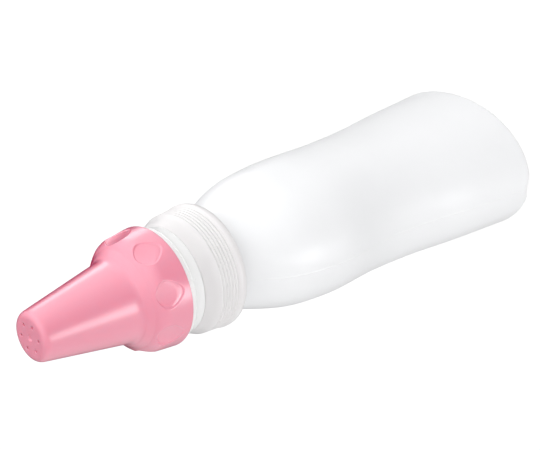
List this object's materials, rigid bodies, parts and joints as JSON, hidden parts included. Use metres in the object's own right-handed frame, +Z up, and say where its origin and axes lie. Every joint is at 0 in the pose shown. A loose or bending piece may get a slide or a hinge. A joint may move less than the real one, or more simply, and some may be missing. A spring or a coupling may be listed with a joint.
{
  "type": "squeeze spray bottle",
  "caption": "Oval hand-squeezed bottle with a ribbed screw collar and a conical screw-on nozzle cap whose tip sprays through fine holes.",
  "frame": {"origin": "centre of the base, on the plane the bottle stands on", "axes": "+Z up the bottle's axis towards the spray tip; +X along the wide side of the oval section, in the plane of the mould's parting line; +Y through the narrow side"},
  "size_m": [0.0694, 0.0508, 0.2],
  "materials": {
    "bottle_body": "frosted milky-translucent blow-moulded polyethylene, satin",
    "collar": "natural translucent polypropylene, satin, fine grip grooves",
    "seat": "opaque white polyethylene, semi-gloss",
    "cap": "soft-looking pink polyethylene, semi-gloss",
    "seal": "translucent white silicone, matt"
  },
  "bodies": {
    "bottle": {"bottle": "bottle_body"},
    "gasket": {"neck_gasket": "seal"},
    "collar": {"screw_collar": "collar", "nozzle_seat": "seat"},
    "washer": {"cap_washer": "seal"},
    "cap": {"nozzle_cap": "cap"}
  },
  "joints": [
    {"name": "collar_lift", "type": "slide", "parent": "bottle", "child": "gasket", "axis": [0, 0, 1], "range_m": [0, 0.012]},
    {"name": "collar_turn", "type": "hinge", "parent": "gasket", "child": "collar", "pos_m": [0, 0, 0.1392], "axis": [0, 0, 1], "range_deg": [0, 1080]},
    {"name": "cap_lift", "type": "slide", "parent": "collar", "child": "washer", "axis": [0, 0, 1], "range_m": [0, 0.012]},
    {"name": "cap_turn", "type": "hinge", "parent": "washer", "child": "cap", "pos_m": [0, 0, 0.1767], "axis": [0, 0, 1], "range_deg": [0, 1080]}
  ],
  "couplings": [
    {"joint": "collar_lift", "follows": "collar_turn", "m_per_rad": 0.00063661},
    {"joint": "cap_lift", "follows": "cap_turn", "m_per_rad": 0.00063661}
  ]
}
